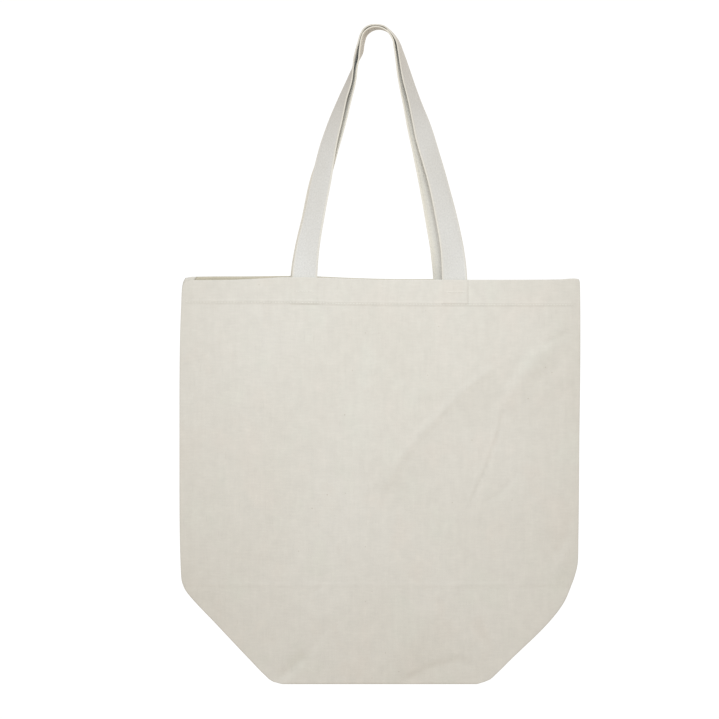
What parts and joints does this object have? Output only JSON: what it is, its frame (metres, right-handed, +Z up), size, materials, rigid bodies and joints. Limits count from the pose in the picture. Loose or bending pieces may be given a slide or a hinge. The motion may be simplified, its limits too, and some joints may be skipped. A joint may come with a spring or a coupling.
{
  "type": "canvas tote bag",
  "caption": "Flat-hanging natural cotton canvas tote bag with a boxed base tucked up inside, a turned hem and long flat shoulder handles.",
  "frame": {"origin": "centre of the peg that the handles hang on, on the axis of the handles' arches", "axes": "+Z up, +X to the bag's right as seen from the front, the front faces -Y, +Y along the peg to the wall"},
  "size_m": [0.4, 0.0254, 0.6595],
  "materials": {
    "canvas": "unbleached plain-weave cotton canvas, matt, with slubs and seed flecks",
    "handle_webbing": "folded cotton twill strap, matt, edge stitched",
    "sewing_thread": "spun cotton-polyester sewing thread, matt"
  },
  "bodies": {
    "root": {"left_side_seam": "canvas", "right_side_seam": "canvas"},
    "front": {"front_panel": "canvas", "front_hem": "canvas", "front_hem_stitching": "sewing_thread", "front_left_strap_end": "handle_webbing", "front_left_strap_tack": "sewing_thread", "front_right_strap_end": "handle_webbing", "front_right_strap_tack": "sewing_thread"},
    "front_base": {"front_base_fold": "canvas", "front_left_corner_seam": "canvas", "front_right_corner_seam": "canvas"},
    "front_strap": {"front_handle": "handle_webbing"},
    "back": {"back_panel": "canvas", "back_hem": "canvas", "back_hem_stitching": "sewing_thread", "back_left_strap_end": "handle_webbing", "back_left_strap_tack": "sewing_thread", "back_right_strap_end": "handle_webbing", "back_right_strap_tack": "sewing_thread"},
    "back_base": {"back_base_fold": "canvas", "back_left_corner_seam": "canvas", "back_right_corner_seam": "canvas", "base_seam": "canvas", "left_seam_tuck": "canvas", "right_seam_tuck": "canvas"},
    "back_strap": {"back_handle": "handle_webbing"}
  },
  "joints": [
    {"name": "front_opening", "type": "slide", "parent": "root", "child": "front", "axis": [0, -1, 0], "range_m": [0, 0.038]},
    {"name": "front_base_unfold", "type": "hinge", "parent": "front", "child": "front_base", "pos_m": [0, -0.0102, -0.6403], "axis": [-1, 0, 0], "range_deg": [0, 24]},
    {"name": "front_handle_swing", "type": "hinge", "parent": "front", "child": "front_strap", "pos_m": [0, -0.0125, -0.235], "axis": [1, 0, 0], "range_deg": [0, 165]},
    {"name": "back_opening", "type": "slide", "parent": "root", "child": "back", "axis": [0, 1, 0], "range_m": [0, 0.038]},
    {"name": "back_base_unfold", "type": "hinge", "parent": "back", "child": "back_base", "pos_m": [0, 0.0102, -0.6403], "axis": [1, 0, 0], "range_deg": [0, 24]},
    {"name": "back_handle_swing", "type": "hinge", "parent": "back", "child": "back_strap", "pos_m": [0, 0.0125, -0.235], "axis": [-1, 0, 0], "range_deg": [0, 165]}
  ],
  "couplings": [
    {"joint": "back_opening", "follows": "front_opening", "ratio": 1},
    {"joint": "front_base_unfold", "follows": "front_opening", "rad_per_m": 11},
    {"joint": "back_base_unfold", "follows": "front_opening", "rad_per_m": 11}
  ]
}
